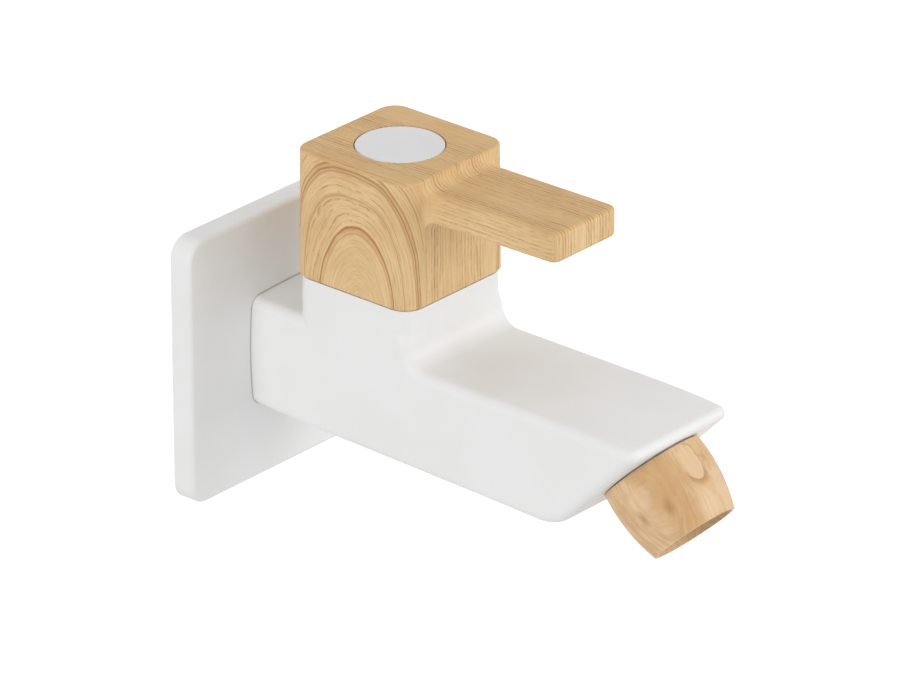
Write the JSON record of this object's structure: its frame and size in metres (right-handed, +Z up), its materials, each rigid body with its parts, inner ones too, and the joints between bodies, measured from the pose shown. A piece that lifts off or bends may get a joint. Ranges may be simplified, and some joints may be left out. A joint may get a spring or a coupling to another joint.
{
  "type": "bib tap",
  "caption": "Wall bib tap: hollow flange, square body with a long spout, quarter-turn lever handle over it and a slanted nozzle with an aerator.",
  "frame": {"origin": "centre of the inlet on the wall plane", "axes": "+Y along the inlet into the wall, +Z up, spout reaching out along -Y"},
  "size_m": [0.085, 0.1633, 0.0994],
  "materials": {
    "white_plastic": "satin white moulded plastic",
    "wood_film": "plastic with a pine-look wood grain film",
    "brass": "turned brass",
    "ceramic": "lapped alumina",
    "rubber": "black rubber",
    "steel": "stainless steel",
    "acetal": "natural acetal"
  },
  "bodies": {
    "body": {"wall_flange": "white_plastic", "flange_grip_ring": "rubber", "inlet_nipple": "brass", "main_body": "white_plastic", "headwork_housing": "brass", "headwork_o_ring": "rubber", "base_seal": "rubber", "seal_support_ring": "acetal", "fixed_disc": "ceramic", "nozzle_gasket": "rubber", "nozzle_shell": "wood_film", "aerator_housing": "acetal", "aerator_flow_disc": "acetal", "aerator_screens": "steel"},
    "handle": {"handle": "wood_film", "handle_insert": "acetal", "handle_screw": "steel", "screw_cap": "white_plastic", "spindle": "brass", "spindle_o_rings": "rubber", "thrust_washer": "acetal", "retaining_clip": "steel", "moving_disc": "ceramic"}
  },
  "joints": [
    {"name": "handle_turn", "type": "hinge", "parent": "body", "child": "handle", "pos_m": [0, -0.0412, 0], "axis": [0, 0, 1], "range_deg": [0, 90]}
  ]
}
